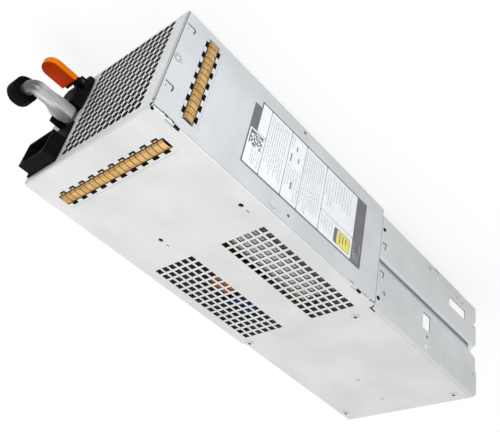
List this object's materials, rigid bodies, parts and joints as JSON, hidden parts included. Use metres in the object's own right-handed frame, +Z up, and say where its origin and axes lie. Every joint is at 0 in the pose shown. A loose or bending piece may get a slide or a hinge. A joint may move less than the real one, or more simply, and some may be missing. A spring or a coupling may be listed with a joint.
{
  "type": "hot swap server power supply",
  "caption": "Hot swap server power supply: vented sheet metal case, open inner tongue with output blades, mesh end with mains inlet, swing handle and sprung release tab.",
  "frame": {"origin": "on the bottom face, under the middle of the main body", "axes": "+X right seen from the mesh end, +Y into the server along the length, +Z up to the vented top"},
  "size_m": [0.1234, 0.379, 0.0858],
  "materials": {
    "zinc_sheet": "satin zinc-coated sheet",
    "finger_brass": "bright spring brass",
    "black_plastic": "fine matt moulding",
    "orange_plastic": "soft satin",
    "grey_satin": "satin",
    "strap_black": "woven hook-and-loop",
    "plated_metal": "nickel plate",
    "steel": "plain",
    "rubber": "matt",
    "board_green": "solder mask",
    "film_clear": "thin film",
    "heatsink": "plain extruded",
    "package_black": "matt",
    "ferrite": "matt ferrite",
    "tape_orange": "taped winding",
    "copper": "enamelled copper",
    "can_black": "sleeve",
    "capacitor_blue": "moulded box",
    "label_white": "printed film"
  },
  "bodies": {
    "root": {"board_screws": "steel", "board_standoffs": "plated_metal", "bulk_capacitors": "can_black", "bulkhead": "zinc_sheet", "bus_bars": "copper", "case_screws": "steel", "chassis": "zinc_sheet", "cover": "zinc_sheet", "fan_frame": "black_plastic", "fan_pads": "rubber", "fan_stator": "copper", "film_capacitors": "capacitor_blue", "filter_board": "board_green", "filter_choke": "ferrite", "filter_windings": "copper", "handle_pin": "steel", "inductor_carrier": "black_plastic", "inlet_blades": "plated_metal", "inlet_housing": "black_plastic", "insulation_sheet": "film_clear", "latch_bracket": "black_plastic", "latch_pin": "steel", "latch_spring": "steel", "locating_tabs": "zinc_sheet", "main_board": "board_green", "output_blades": "plated_metal", "output_board": "board_green", "output_capacitors": "can_black", "output_connector": "black_plastic", "output_spacers": "plated_metal", "power_transistors": "package_black", "primary_heatsink": "heatsink", "rating_label": "label_white", "ring_inductor": "copper", "secondary_heatsink": "heatsink", "side_finger_strip": "finger_brass", "side_screws": "steel", "top_finger_strip": "finger_brass", "transformer_core": "ferrite", "transformer_winding": "tape_orange"},
    "handle": {"handle_arm": "grey_satin", "strap_roll": "strap_black"},
    "latch": {"latch_lever": "black_plastic", "latch_tab": "orange_plastic"},
    "rotor": {"fan_rotor": "black_plastic"}
  },
  "joints": [
    {"name": "handle_swing", "type": "hinge", "parent": "root", "child": "handle", "pos_m": [0.034, -0.1057, 0.04], "axis": [0, 0, -1], "range_deg": [0, 90]},
    {"name": "latch_press", "type": "hinge", "parent": "root", "child": "latch", "pos_m": [0.0318, -0.1078, 0.015], "axis": [-1, 0, 0], "range_deg": [0, 8], "stiffness_Nm_per_rad": 0.6, "springref_deg": -5.73},
    {"name": "fan_spin", "type": "hinge", "parent": "root", "child": "rotor", "pos_m": [-0.01, -0.0585, 0.0425], "axis": [0, 1, 0], "continuous": true}
  ]
}
